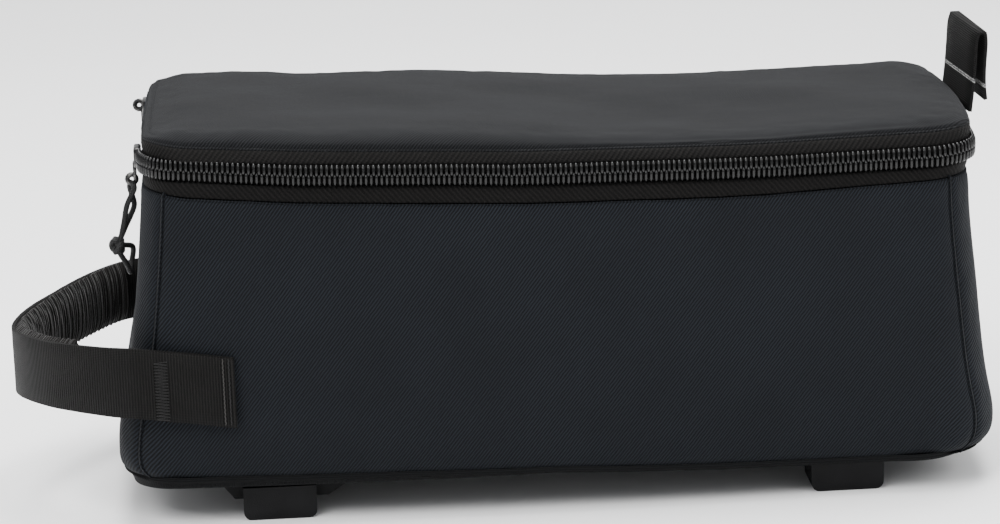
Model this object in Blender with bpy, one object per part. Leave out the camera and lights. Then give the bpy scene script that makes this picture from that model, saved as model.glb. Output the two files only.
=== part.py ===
"""Bicycle trunk bag: a long soft bag on four plastic feet, closed by a zipped lid.

Metres, +Z up, +X to the right of the long front wall, -Y towards the viewer.
The feet stand on z = 0. The origin is under the middle of the whole object's box.
"""

import math

import bmesh
import bpy
from mathutils import Vector

MM = 0.001
CLEARANCE = 0.3 * MM

# Bag
BODY_LENGTH = 352 * MM
BODY_WIDTH = 150 * MM
ZIP_HEIGHT = 158 * MM
BASE_HEIGHT = 14.5 * MM
BOTTOM_SEAM_RISE = 4.7 * MM
CORNER_RADIUS = 20 * MM
FRONT_SWELL = 5 * MM
LEFT_SWELL = 0.4 * MM
RIGHT_SWELL = 4 * MM
CLOTH = 2.4 * MM
END_WRAP = 4 * MM
BASE_INSET = 9 * MM

# Zip
TAPE_THICKNESS = 1.4 * MM
LOWER_TAPE_HEIGHT = 7.8 * MM
UPPER_TAPE_HEIGHT = 4.9 * MM
UPPER_TAPE_LEAN = 2.2 * MM
END_TAPE_LEAN = -0.4 * MM
CHAIN_HEIGHT = 8.4 * MM
CHAIN_THICKNESS = 3.6 * MM
TAPE_END = 5 * MM
TAPE_INSET = 0.8 * MM

# Lid
LID_RIM_HEIGHT = 2.6 * MM
LID_EDGE_HEIGHT = 3.0 * MM
LID_EDGE_INSET = 7.5 * MM
LID_CROWN = 2.2 * MM
LID_LEFT_LEAN = 0.45

# Sliders
SLIDER_LENGTH = 10.5 * MM
SLIDER_HEIGHT = 8.6 * MM
SLIDER_THICKNESS = 3.0 * MM
SLIDER_ROUND = 0.9 * MM
FRONT_SLIDER_SETBACK = 23 * MM
BACK_SLIDER_SETBACK = 16 * MM
TONGUE_LENGTH = 7.5 * MM
TONGUE_WIDTH = 4.4 * MM
TONGUE_THICKNESS = 1.4 * MM
EYE_RADIUS = 1.9 * MM
EYE_WIRE = 1.1 * MM
EYE_DROP = 9.8 * MM
BACK_EYE_LIFT = 1.5 * MM

# Cord on the front slider
CORD_DIAMETER = 2.4 * MM
CORD_UNIT = 1.0 * MM
KNOT_HEIGHT = 7.4 * MM
KNOT_WIDTH = 5.4 * MM

# Handle
STRAP_WIDTH = 30 * MM
STRAP_THICKNESS = 1.6 * MM
STRAP_HEM_LENGTH = 31 * MM
STRAP_HEM_THICKNESS = 2.8 * MM
STRAP_OVERLAP = 41 * MM
HANDLE_HEIGHT = 66 * MM
HANDLE_REACH = 57 * MM
HANDLE_DROOP = 6 * MM
PAD_WIDTH = 30 * MM
PAD_THICKNESS = 6.5 * MM
PAD_LIFT = 1.2 * MM
PAD_BACK = 0.8
PAD_FRONT_START = 0.46
PAD_BACK_START = 0.20

# Tab on the lid
TAB_WIDTH = 30 * MM
TAB_HEIGHT = 35.4 * MM
TAB_THICKNESS = 1.5 * MM
TAB_FOLD_GAP = 3.4 * MM
TAB_PLACE = 12 * MM
TAB_TURN = 13
TAB_TILT = 9
TAB_LEAN = 3
TAB_STAND_OFF = 2.3 * MM

# Rack adapter
PLATE_LENGTH = BODY_LENGTH - 80 * MM
PLATE_WIDTH = 84 * MM
PLATE_THICKNESS = 3.5 * MM
PLATE_ROUND = 0.8 * MM
FOOT_SPACING = BODY_LENGTH - 110 * MM
FOOT_CENTRE = 2 * MM
FOOT_LENGTH = 31 * MM
FOOT_DEPTH = 8 * MM
FOOT_FACE = 68 * MM
FOOT_ROUND = 3.5 * MM
BRACKET_LIFT = 1.2 * MM
BRACKET_STEP = 7.2 * MM

# Steps along one wall, for the straight stretch and for half a corner
FRONT_STEPS = 14
END_STEPS = 6
CORNER_STEPS = 3

FRONT, RIGHT, BACK, LEFT = range(4)
SWELLS = (FRONT_SWELL, RIGHT_SWELL, FRONT_SWELL, LEFT_SWELL)

# Outline of the walls from the bottom seam (0) to the zip (1), as shares of half the
# bag's length to the left and to the right, and of half its width
WALL_PROFILE = [
    # height, left, right, width
    (0.00, 1.035, 1.028, 0.985),
    (0.03, 1.057, 1.052, 0.998),
    (0.07, 1.061, 1.063, 1.010),
    (0.15, 1.057, 1.063, 1.020),
    (0.28, 1.038, 1.040, 1.030),
    (0.45, 1.008, 1.027, 1.035),
    (0.60, 0.994, 1.016, 1.030),
    (0.80, 0.977, 1.004, 1.010),
    (0.90, 0.968, 1.000, 1.000),
    (1.00, 0.968, 1.014, 0.995),
    (1.10, 0.966, 1.014, 0.985),
]

# How far the zip sags under its left end, as shares of ZIP_HEIGHT, at shares of half
# the bag's length from the middle
ZIP_SAG = [
    # place, sag
    (-1.00, 0.014),
    (-0.84, 0.032),
    (-0.60, 0.048),
    (-0.36, 0.057),
    (0.00, 0.072),
    (0.55, 0.082),
    (0.85, 0.080),
    (1.05, 0.074),
]

# Height of the two tapes, as shares of their named sizes, at shares of half the bag's
# length from the middle
TAPE_SHARES = [
    # place, upper, lower
    (-1.00, 1.10, 0.70),
    (-0.60, 1.05, 0.90),
    (-0.30, 1.00, 0.96),
    (0.40, 1.00, 0.96),
    (0.85, 1.12, 0.74),
    (1.05, 1.15, 0.68),
]

# How far the lid's edge drops towards its ends, as shares of half the bag's length
LID_DROP = [
    # place, drop
    (-1.00, 0.024),
    (-0.90, 0.002),
    (-0.76, -0.009),
    (-0.61, 0.000),
    (-0.37, -0.007),
    (-0.06, 0.000),
    (0.06, 0.006),
    (0.20, 0.014),
    (0.45, 0.014),
    (0.72, 0.012),
    (1.05, 0.010),
]

# Height of the bottom seam and of the base's edge over BASE_HEIGHT, as shares of
# BOTTOM_SEAM_RISE: the loaded right end sags over its feet
BOTTOM_EDGE = [
    # place, seam, base
    (-1.00, 1.50, 0.00),
    (-0.45, 1.22, 0.05),
    (0.00, 1.00, 0.26),
    (0.25, 0.62, 0.12),
    (0.45, 0.42, 0.00),
    (0.62, 0.28, 0.00),
    (0.85, 0.22, 0.00),
    (1.05, 0.24, 0.00),
]

# Soft folds on the lid: each runs between two places, given as shares of half the
# length and half the width, with its half breadth and height as shares of the width
LID_FOLDS = [
    # from x, from y, to x, to y, breadth, height
    (0.38, 0.70, 0.47, 0.20, 0.070, 0.010),
    (0.47, 0.20, 0.86, -0.30, 0.090, 0.014),
    (-0.90, 0.75, -0.86, -0.60, 0.090, 0.008),
    (-0.72, 0.80, -0.40, 0.40, 0.100, 0.010),
    (-0.30, 0.90, 0.05, 0.45, 0.090, 0.010),
    (0.05, 0.10, 0.30, -0.50, 0.120, -0.014),
    (-0.55, -0.10, -0.20, -0.35, 0.130, -0.012),
]

# Section of the chain: height from its centre and reach from its tape, as shares of
# CHAIN_HEIGHT and CHAIN_THICKNESS
CHAIN_PROFILE = [
    # height, reach
    (-0.50, 0.10),
    (-0.40, 0.72),
    (-0.12, 1.00),
    (0.12, 1.00),
    (0.40, 0.72),
    (0.50, 0.10),
]

# Ribs behind the feet, under the plate's edge: reach of the rib to the left and right of
# the foot's centre, as shares of FOOT_LENGTH, at its foot, at its step and at its top
BRACKETS = {
    # name: foot left, foot right, step left, step right, top left, top right
    "front_left": (-0.46, 0.46, -0.62, 0.66, -0.80, 1.02),
    "front_right": (-0.48, 0.44, -0.52, 0.45, -0.58, 0.46),
    "back_left": (-0.46, 0.46, -0.62, 0.66, -0.80, 1.02),
    "back_right": (-0.48, 0.44, -0.52, 0.45, -0.58, 0.46),
}

# The handle's loop in plan, from the front wall round to the back wall: depth as a share
# of half its width, reach and droop as shares of HANDLE_REACH, and the strap's width as
# a share of STRAP_WIDTH
HANDLE_PLAN = [
    # depth, reach, droop, width
    (-1.00, 0.00, 0.00, 1.00),
    (-0.95, 0.18, 0.00, 0.99),
    (-0.86, 0.39, 0.00, 0.97),
    (-0.72, 0.62, 0.01, 0.95),
    (-0.50, 0.83, 0.03, 0.94),
    (-0.24, 0.94, 0.07, 0.93),
    (0.00, 0.94, 0.08, 0.92),
    (0.22, 0.85, 0.06, 0.91),
    (0.42, 0.71, 0.04, 0.90),
    (0.62, 0.54, 0.01, 0.90),
    (0.80, 0.36, -0.01, 0.90),
    (0.93, 0.18, -0.02, 0.90),
    (1.00, 0.00, -0.02, 0.92),
]

# Section of the handle's pad, as shares of half PAD_WIDTH and of PAD_THICKNESS
PAD_PROFILE = [
    # height, depth
    (-0.84, 0.00),
    (-1.00, 0.45),
    (-0.72, 0.88),
    (0.00, 1.00),
    (0.72, 0.88),
    (1.00, 0.45),
    (0.84, 0.00),
]

# Route of the cord on the front slider, from the middle of the slider's eye: away from
# the wall, towards the viewer and up, as shares of CORD_UNIT
STRAND_LEFT_ROUTE = [
    (-0.9, 1.6, -3.5),
    (0.6, 1.6, -6.6),
    (2.8, 1.5, -11.5),
    (4.2, 1.5, -17.8),
    (5.8, 1.5, -24.2),
]
STRAND_RIGHT_ROUTE = [
    (1.2, -1.6, -3.5),
    (0.5, -1.7, -7.0),
    (-0.3, -1.7, -11.5),
    (1.5, -1.6, -16.0),
    (3.8, -1.5, -20.4),
    (5.6, -1.5, -24.2),
]
LOOP_ROUTE = [
    (6.6, -3.2, -29.3),
    (3.6, -7.4, -30.0),
    (2.0, -11.8, -31.4),
    (2.2, -16.2, -35.0),
    (2.9, -17.0, -39.6),
    (3.5, -13.4, -42.8),
    (3.6, -8.0, -41.6),
    (4.4, -3.8, -38.0),
    (6.4, -1.0, -32.4),
]
KNOT_PLACE = (7.7, 0.0, -28.2)

# Route of the tab's webbing from its foot over its fold and down, as shares of
# TAB_FOLD_GAP away from the lid and of TAB_HEIGHT
TAB_ROUTE = [
    # away, up
    (0.00, 0.00),
    (0.15, 0.35),
    (0.10, 0.70),
    (0.00, 0.92),
    (0.25, 1.00),
    (0.80, 1.00),
    (1.05, 0.90),
    (1.00, 0.65),
    (1.15, 0.35),
    (1.60, 0.14),
]


def between(table, place, column):
    """The table's value at a place, eased between its rows."""
    if place <= table[0][0]:
        return table[0][column]
    for low, high in zip(table, table[1:]):
        if place <= high[0]:
            share = (place - low[0]) / (high[0] - low[0])
            share = share * share * (3 - 2 * share)
            return low[column] + share * (high[column] - low[column])
    return table[-1][column]


def half_outline(level, inset):
    """Middle, half length and half width of the bag's outline at a level."""
    half = BODY_LENGTH / 2
    left = half * between(WALL_PROFILE, level, 1) - inset
    right = half * between(WALL_PROFILE, level, 2) - inset
    width = BODY_WIDTH / 2 * between(WALL_PROFILE, level, 3) - inset
    return (right - left) / 2, (right + left) / 2, width


def on_wall(side, along, level, inset):
    """Plan position on a wall: along runs from -1 to 1 between two corners' middles."""
    middle, half, width = half_outline(level, inset)
    radius = max(CORNER_RADIUS - inset, CLOTH)
    straight = (half if side in (FRONT, BACK) else width) - radius
    corner = radius * math.pi / 4
    reach = along * (straight + corner)
    depth = (width if side in (FRONT, BACK) else half) - radius
    if abs(reach) <= straight:
        run, out = reach, radius
    else:
        angle = (abs(reach) - straight) / radius
        run = math.copysign(straight + radius * math.sin(angle), reach)
        out = radius * math.cos(angle)
    swell = SWELLS[side]
    swell *= math.cos(math.pi / 2 * min(abs(run) / (straight + radius), 1)) ** 1.5
    out += depth + swell
    if side == FRONT:
        return middle + run, -out
    if side == RIGHT:
        return middle + out, run
    if side == BACK:
        return middle - run, out
    return middle - out, -run


def heights(x):
    """Height of the bottom seam and of the zip's middle at a place along the bag."""
    share = x / (BODY_LENGTH / 2)
    seam = BASE_HEIGHT + BOTTOM_SEAM_RISE * between(BOTTOM_EDGE, share, 1)
    return seam, ZIP_HEIGHT * (1 - between(ZIP_SAG, share, 1))


def wall_point(side, along, level, inset=0.0, rise=0.0):
    """Point of the bag's skin: level 0 is the bottom seam, 1 the zip's middle."""
    zip_x, _ = on_wall(side, along, 1, 0)
    seam, top = heights(zip_x)
    z = seam + level * (top - seam) + rise
    x, y = on_wall(side, along, (z - seam) / (top - seam), inset)
    return Vector((x, y, z))


def wall_straight(side):
    """Half the length of a wall between its corners, at the zip."""
    _, half, width = half_outline(1, 0)
    return (half if side in (FRONT, BACK) else width) - CORNER_RADIUS


def wall_stations(side):
    """Places along a wall, closer together round its corners."""
    edge = wall_straight(side) / (wall_length(side) / 2)
    steps = FRONT_STEPS if side in (FRONT, BACK) else END_STEPS
    places = [-1 + (1 - edge) * i / CORNER_STEPS for i in range(CORNER_STEPS)]
    places += [-edge + 2 * edge * i / steps for i in range(steps + 1)]
    places += [edge + (1 - edge) * (i + 1) / CORNER_STEPS for i in range(CORNER_STEPS)]
    return places


def wall_length(side):
    return 2 * wall_straight(side) + CORNER_RADIUS * math.pi / 2


def trimmed(side, low, high):
    """Stations of a wall between two places, which become the first and the last."""
    near = 0.4 * (wall_stations(side)[1] + 1)
    kept = [s for s in wall_stations(side) if low + near < s < high - near]
    return [(side, low)] + [(side, place) for place in kept] + [(side, high)]


def material(name, colour, roughness, metallic=0.0):
    made = bpy.data.materials.new(name)
    made.use_nodes = True
    shader = made.node_tree.nodes["Principled BSDF"]
    shader.inputs["Base Color"].default_value = (*colour, 1)
    shader.inputs["Roughness"].default_value = roughness
    shader.inputs["Metallic"].default_value = metallic
    return made


def add_object(name, mesh, finish, smooth_angle=35):
    mesh.materials.append(finish)
    mesh.shade_smooth()
    mesh.set_sharp_from_angle(angle=math.radians(smooth_angle))
    made = bpy.data.objects.new(name, mesh)
    bag.objects.link(made)
    return made


def mesh_of(name, shape):
    bmesh.ops.recalc_face_normals(shape, faces=shape.faces)
    if shape.calc_volume(signed=True) < 0:
        bmesh.ops.reverse_faces(shape, faces=shape.faces)
    mesh = bpy.data.meshes.new(name)
    shape.to_mesh(mesh)
    shape.free()
    return mesh


def strip(name, sections, finish, closed=False):
    """Lofts a sheet through sections, each a pair of rows: its outer and inner points."""
    shape = bmesh.new()
    rings = []
    for outer, inner in sections:
        points = list(outer) + list(reversed(inner))
        rings.append([shape.verts.new(point) for point in points])
    count = len(rings[0])
    pairs = list(zip(rings, rings[1:]))
    if closed:
        pairs.append((rings[-1], rings[0]))
    for ring, following in pairs:
        for i in range(count):
            j = (i + 1) % count
            shape.faces.new((ring[i], ring[j], following[j], following[i]))
    if not closed:
        for ring in (rings[0], rings[-1]):
            for i in range(count // 2 - 1):
                shape.faces.new((ring[i], ring[i + 1], ring[-i - 2], ring[-i - 1]))
    return add_object(name, mesh_of(name, shape), finish)


def patch_points(rim, long_steps, short_steps, height):
    """Points of a sheet stretched over a closed rim that starts at its front left."""
    front = rim[: long_steps + 1]
    right = rim[long_steps : long_steps + short_steps + 1]
    back = rim[long_steps + short_steps : 2 * long_steps + short_steps + 1][::-1]
    left = (rim[2 * long_steps + short_steps :] + rim[:1])[::-1]
    rows = []
    for j in range(1, short_steps):
        v = j / short_steps
        row = []
        for i in range(1, long_steps):
            u = i / long_steps
            point = (1 - v) * front[i] + v * back[i] + (1 - u) * left[j] + u * right[j]
            point -= (1 - u) * (1 - v) * front[0] + u * (1 - v) * front[-1]
            point -= (1 - u) * v * back[0] + u * v * back[-1]
            row.append(point + Vector((0, 0, height(u, v, point))))
        rows.append(row)
    return rows


def tray(name, outer_rings, inner_rings, height, finish):
    """Closes a rim of rings with a sheet, outside and inside, and joins the two edges."""
    long_steps = FRONT_STEPS + 2 * CORNER_STEPS
    short_steps = END_STEPS + 2 * CORNER_STEPS
    shape = bmesh.new()
    edges = []
    for rings in (outer_rings, inner_rings):
        rows = [[shape.verts.new(point) for point in ring] for ring in rings]
        for lower, upper in zip(rows, rows[1:]):
            for i in range(len(lower)):
                j = (i + 1) % len(lower)
                shape.faces.new((lower[i], lower[j], upper[j], upper[i]))
        rim = rows[-1]
        inside = patch_points(rings[-1], long_steps, short_steps, height)
        grid = [rim[: long_steps + 1]]
        for j, row in enumerate(inside, 1):
            left = rim[-j]
            right = rim[long_steps + j]
            grid.append([left] + [shape.verts.new(point) for point in row] + [right])
        start = long_steps + short_steps
        grid.append(rim[start : start + long_steps + 1][::-1])
        for near, far in zip(grid, grid[1:]):
            for i in range(long_steps):
                shape.faces.new((near[i], near[i + 1], far[i + 1], far[i]))
        edges.append(rows[0])
    outer, inner = edges
    for i in range(len(outer)):
        j = (i + 1) % len(outer)
        shape.faces.new((outer[i], outer[j], inner[j], inner[i]))
    return add_object(name, mesh_of(name, shape), finish)


def end_share(side, along):
    """How far a place on the walls faces an end: 0 on a long wall, 1 on a short one."""
    straight = wall_straight(side)
    reach = abs(along) * wall_length(side) / 2
    share = math.sin(max(0.0, reach - straight) / CORNER_RADIUS) ** 2
    return share if side in (FRONT, BACK) else 1 - share


def tape_edges(side, along):
    """How far the lower tape reaches down and the upper tape up, and the upper's lean."""
    x, _ = on_wall(side, along, 1, 0)
    place = x / (BODY_LENGTH / 2)
    upper = CHAIN_HEIGHT / 2 + UPPER_TAPE_HEIGHT * between(TAPE_SHARES, place, 1)
    lower = CHAIN_HEIGHT / 2 + LOWER_TAPE_HEIGHT * between(TAPE_SHARES, place, 2)
    turned = end_share(side, along)
    return lower, upper, UPPER_TAPE_LEAN * (1 - turned) + END_TAPE_LEAN * turned


def wall_panel(name, stations, finish):
    """A wall from the bottom seam up to the lower tape's edge."""
    sections = []
    for side, along in stations:
        zip_x, _ = on_wall(side, along, 1, 0)
        seam, top = heights(zip_x)
        lower, _, _ = tape_edges(side, along)
        high = 1 - (lower + CLEARANCE) / (top - seam)
        levels = [row[0] / WALL_PROFILE[-2][0] * high for row in WALL_PROFILE[:-1]]
        outer = [wall_point(side, along, level) for level in levels]
        inner = [wall_point(side, along, level, CLOTH) for level in levels]
        sections.append((outer, inner))
    return strip(name, sections, finish)


def add_walls(finish):
    """Four walls: the short ones wrap round the corners to the long ones' seams."""
    gap = CLEARANCE / 2
    long_wrap = (END_WRAP + gap) / (wall_length(FRONT) / 2)
    long_edge = (END_WRAP - gap) / (wall_length(FRONT) / 2)
    for name, side in (("side_panel_front", FRONT), ("side_panel_back", BACK)):
        wall_panel(name, trimmed(side, -1 + long_wrap, 1 - long_wrap), finish)
    for name, before, side, after in (
        ("end_panel_right", FRONT, RIGHT, BACK),
        ("end_panel_left", BACK, LEFT, FRONT),
    ):
        stations = [(before, 1 - long_edge)]
        stations += [(side, place) for place in wall_stations(side)]
        stations += [(after, -1 + long_edge)]
        wall_panel(name, stations, finish)


def places_round():
    """Places round the bag, starting at the middle of its front left corner."""
    return [(side, along) for side in range(4) for along in wall_stations(side)[:-1]]


def add_bottom(finish):
    """The tray under the walls: it turns in from the bottom seam to a flat base."""
    # Inset, drop towards the base, and the least drop as a share of the cloth
    rows = [(0.0, 0.0, 0.0), (0.18, 0.62, 0.4), (1.0, 1.0, 0.0)]

    def tray_rings(wall):
        rings = []
        for inset_share, drop_share, rim_share in rows:
            inset = inset_share * BASE_INSET + wall
            points = [
                wall_point(side, along, 0.0, inset, -CLEARANCE) for side, along in places_round()
            ]
            for point in points:
                place = point.x / (BODY_LENGTH / 2)
                lift = BOTTOM_SEAM_RISE * between(BOTTOM_EDGE, place, 2)
                base = BASE_HEIGHT + lift + wall
                top = point.z
                drop = drop_share * (top - base)
                if rim_share:
                    drop = max(drop, rim_share * (CLOTH - wall))
                point.z = top - drop
            rings.append(points)
        return rings

    tray("bottom_panel", tray_rings(0.0), tray_rings(CLOTH), lambda u, v, p: 0.0, finish)


def lid_relief(u, v, point):
    """Crown and folds of the lid at a place, which fade out at its edge."""
    x = point.x / (BODY_LENGTH / 2)
    y = point.y / (BODY_WIDTH / 2)
    fade = min(1.0, 5 * min(u, 1 - u), 3 * min(v, 1 - v))
    relief = LID_CROWN * math.sin(math.pi * u) ** 0.5 * math.sin(math.pi * v)
    stretch = BODY_LENGTH / BODY_WIDTH
    for x0, y0, x1, y1, breadth, height in LID_FOLDS:
        start = Vector((x0 * stretch, y0))
        run = Vector((x1 * stretch, y1)) - start
        here = Vector((x * stretch, y))
        share = max(0.0, min(1.0, (here - start).dot(run) / run.length_squared))
        away = (here - start - share * run).length / (2 * breadth)
        relief += BODY_WIDTH * height * math.exp(-away * away) * fade
    return relief


def lid_ring(row, depth, drop):
    """Closed row of points round the lid, a depth inside its skin and a drop under it."""
    inset_by, up, on_top = row
    points = []
    for side, along in places_round():
        _, upper, lean = tape_edges(side, along)
        x, _ = on_wall(side, along, 1, 0)
        if x < 0:
            inset_by = row[0] * (1 + LID_LEFT_LEAN * end_share(side, along))
        inset = TAPE_INSET + lean + inset_by + depth
        point = wall_point(side, along, 1.0, inset, upper + CLEARANCE + up - drop)
        fall = between(LID_DROP, x / (BODY_LENGTH / 2), 1) * BODY_LENGTH / 2
        point.z -= fall * on_top
        points.append(point)
    return points


def add_lid(finish):
    """The lid's sheet with its rim, from the upper tape's top edge."""
    rows = [
        # inset, height over the tape, share of the lid's drop
        (0.0, 0.0, 0.0),
        (0.08 * LID_EDGE_INSET, LID_RIM_HEIGHT, 0.4),
        (0.32 * LID_EDGE_INSET, LID_RIM_HEIGHT + 0.62 * LID_EDGE_HEIGHT, 0.8),
        (LID_EDGE_INSET, LID_RIM_HEIGHT + LID_EDGE_HEIGHT, 1.0),
    ]
    outer = [lid_ring(row, 0.0, 0.0) for row in rows]
    inner = [lid_ring(row, CLOTH, 0.0) for row in rows[:2]]
    inner += [lid_ring(row, CLOTH, CLOTH) for row in rows[2:]]
    tray("lid_top", outer, inner, lid_relief, finish)


def zip_stations(front_margin, back_margin):
    """Stations of the zip, which starts and ends a margin from the left end's corners."""
    half = wall_length(LEFT) / 2
    stations = trimmed(LEFT, 1 - front_margin / half, 1.0)[:-1]
    for side in (FRONT, RIGHT, BACK):
        stations += [(side, place) for place in wall_stations(side)[:-1]]
    return stations + trimmed(LEFT, -1.0, back_margin / half - 1)


def zip_strip(name, stations, rows_at, back, finish):
    """Lofts a zip piece: rows_at gives its face as (rise, inset), back its inner inset."""
    sections = []
    for side, along in stations:
        rows = rows_at(side, along)
        outer = [wall_point(side, along, 1.0, inset, rise) for rise, inset in rows]
        inner = [wall_point(side, along, 1.0, back(inset), rise) for rise, inset in rows]
        sections.append((outer, inner))
    strip(name, sections, finish)


def add_zip(tape_finish, chain_finish, hinge_finish):
    """Two tapes and the closed chain between them, and the lid's cloth hinge on the left."""
    half = CHAIN_HEIGHT / 2
    setbacks = (FRONT_SLIDER_SETBACK, BACK_SLIDER_SETBACK)
    chain_ends = [setback - SLIDER_LENGTH / 2 - CLEARANCE for setback in setbacks]
    tape_ends = [setback + SLIDER_LENGTH / 2 + TAPE_END for setback in setbacks]

    def lower_rows(side, along):
        lower, _, _ = tape_edges(side, along)
        return [(-lower, TAPE_INSET), (-half - CLEARANCE, TAPE_INSET)]

    def upper_rows(side, along):
        _, upper, lean = tape_edges(side, along)
        return [(half + CLEARANCE, TAPE_INSET), (upper, TAPE_INSET + lean)]

    def chain_rows(side, along):
        face = TAPE_INSET + TAPE_THICKNESS
        return [
            (rise * CHAIN_HEIGHT, face - reach * CHAIN_THICKNESS) for rise, reach in CHAIN_PROFILE
        ]

    def hinge_rows(side, along):
        lower, upper, lean = tape_edges(side, along)
        return [(-lower, TAPE_INSET), (0.0, TAPE_INSET), (upper, TAPE_INSET + lean)]

    def behind(inset):
        return inset + TAPE_THICKNESS

    def chain_back(inset):
        return TAPE_INSET + TAPE_THICKNESS

    tape_stations = zip_stations(*tape_ends)
    zip_strip("zipper_tape_lower", tape_stations, lower_rows, behind, tape_finish)
    zip_strip("zipper_tape_upper", tape_stations, upper_rows, behind, tape_finish)
    zip_strip("zipper_chain", zip_stations(*chain_ends), chain_rows, chain_back, chain_finish)
    high, low = (1 - (end + CLEARANCE) / (wall_length(LEFT) / 2) for end in tape_ends)
    zip_strip("lid_hinge", trimmed(LEFT, -low, high), hinge_rows, behind, hinge_finish)


def wall_frame(side, along, level, inset=0.0, rise=0.0):
    """A point of the skin, the way along the wall and the way out of it."""
    here = wall_point(side, along, level, inset, rise)
    ahead = wall_point(side, along + 0.01, level, inset, rise)
    run = Vector((ahead.x - here.x, ahead.y - here.y, 0)).normalized()
    return here, run, Vector((run.y, -run.x, 0))


def solid_box(shape, centre, out, size, round_by):
    """A box with rounded edges: its length across, its depth along out, its height up."""
    made = bmesh.ops.create_cube(shape, size=1.0)["verts"]
    up = Vector((0, 0, 1))
    run = out.cross(up)
    for vert in made:
        x, y, z = vert.co
        vert.co = centre + run * (x * size[0]) + out * (y * size[1]) + up * (z * size[2])
    shape.normal_update()
    edges = {edge for vert in made for edge in vert.link_edges}
    bmesh.ops.bevel(
        shape, geom=list(edges), offset=round_by, segments=2, profile=0.5, affect="EDGES"
    )


def join(body, helper):
    """Joins a helper to a body and keeps it out of the render."""
    for owner in list(helper.users_collection):
        owner.objects.unlink(helper)
    helpers.objects.link(helper)
    helper.hide_render = True
    helper.display_type = "WIRE"
    union = body.modifiers.new("join", "BOOLEAN")
    union.operation = "UNION"
    union.object = helper


def add_slider(name, side, along, eye_rise, finish):
    """A slider on the tapes at the chain's end, with a tongue and an eye for a cord."""
    here, run, out = wall_frame(side, along, 1.0, TAPE_INSET)
    shape = bmesh.new()
    centre = here + out * (CLEARANCE + SLIDER_THICKNESS / 2)
    size = (SLIDER_LENGTH, SLIDER_THICKNESS, SLIDER_HEIGHT)
    solid_box(shape, centre, out, size, SLIDER_ROUND)
    body = add_object(name, mesh_of(name, shape), finish)
    eye_reach = TAPE_INSET + 3 * CLEARANCE + EYE_RADIUS + EYE_WIRE
    eye = here + out * eye_reach + Vector((0, 0, eye_rise))
    shape = bmesh.new()
    size = (TONGUE_WIDTH, TONGUE_THICKNESS, TONGUE_LENGTH)
    centre = here + out * (CLEARANCE + SLIDER_THICKNESS)
    centre.z = eye.z - math.copysign(TONGUE_LENGTH / 2, eye_rise)
    solid_box(shape, centre, out, size, TONGUE_THICKNESS / 4)
    join(body, bpy.data.objects.new(name + "_tongue", mesh_of(name + "_tongue", shape)))
    bpy.ops.mesh.primitive_torus_add(
        major_segments=14,
        minor_segments=8,
        major_radius=EYE_RADIUS,
        minor_radius=EYE_WIRE,
        location=eye,
        rotation=run.to_track_quat("Z", "Y").to_euler(),
    )
    loop = bpy.context.active_object
    loop.name = name + "_eye"
    join(body, loop)
    return eye, run, out


def smooth(points, steps):
    """A smooth run of points through the given ones, as vectors."""
    points = [Vector(point) for point in points]
    ends = [2 * points[0] - points[1]] + points + [2 * points[-1] - points[-2]]
    fine = []
    for a, b, c, d in zip(ends, ends[1:], ends[2:], ends[3:]):
        for i in range(steps):
            t = i / steps
            pull = (c - a) * t + (2 * a - 5 * b + 4 * c - d) * t**2
            fine.append(0.5 * (2 * b + pull + (3 * b - a - 3 * c + d) * t**3))
    return fine + [points[-1]]


def smooth_route(points, spacing):
    """Points an equal way apart on a smooth curve through the route's own points."""
    fine = smooth(points, 12)
    lengths = [0.0]
    for near, far in zip(fine, fine[1:]):
        lengths.append(lengths[-1] + (far - near).length)
    count = max(4, round(lengths[-1] / spacing))
    spaced = []
    at = 0
    for i in range(count + 1):
        wanted = lengths[-1] * i / count
        while at < len(fine) - 2 and lengths[at + 1] < wanted:
            at += 1
        share = (wanted - lengths[at]) / (lengths[at + 1] - lengths[at])
        spaced.append(fine[at].lerp(fine[at + 1], share))
    return spaced


def add_cord(name, points, finish):
    """A round cord along a route."""
    curve = bpy.data.curves.new(name, "CURVE")
    curve.dimensions = "3D"
    curve.bevel_depth = CORD_DIAMETER / 2
    curve.bevel_resolution = 2
    curve.use_fill_caps = True
    spaced = smooth_route(points, 2 * CORD_DIAMETER)
    spline = curve.splines.new("POLY")
    spline.points.add(len(spaced) - 1)
    for target, point in zip(spline.points, spaced):
        target.co = (*point, 1)
    curve.materials.append(finish)
    made = bpy.data.objects.new(name, curve)
    bag.objects.link(made)
    return made


def add_pull(eye, run, out, finish):
    """The cord of the front slider: two strands to a knot and a loop under it."""

    def routed(place):
        left, near, up = place
        return eye + (out * left + run * near + Vector((0, 0, up))) * CORD_UNIT

    add_cord("pull_strand_left", [routed(p) for p in STRAND_LEFT_ROUTE], finish)
    add_cord("pull_strand_right", [routed(p) for p in STRAND_RIGHT_ROUTE], finish)
    add_cord("pull_loop", [routed(p) for p in LOOP_ROUTE], finish)
    bpy.ops.mesh.primitive_uv_sphere_add(segments=12, ring_count=8, radius=1.0)
    knot = bpy.context.active_object
    mesh = knot.data
    bpy.data.objects.remove(knot)
    centre = routed(KNOT_PLACE)
    for vert in mesh.vertices:
        x, y = vert.co.xy * KNOT_WIDTH / 2
        z = vert.co.z * KNOT_HEIGHT / 2
        vert.co = centre + out * x + run * y + Vector((0, 0, z))
    mesh.update()
    add_object("pull_knot", mesh, finish)


def front_surface(x, z):
    """Depth of the front wall at a place along the bag and a height."""
    seam, top = heights(x)
    level = (z - seam) / (top - seam)
    middle, half, width = half_outline(level, 0)
    straight = half - CORNER_RADIUS
    run = max(-half, min(half, x - middle))
    swell = FRONT_SWELL * math.cos(math.pi / 2 * min(abs(run) / half, 1)) ** 1.5
    beyond = max(0.0, abs(run) - straight)
    inward = CORNER_RADIUS - math.sqrt(max(CORNER_RADIUS**2 - beyond**2, 0.0))
    return width + swell - inward


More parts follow.
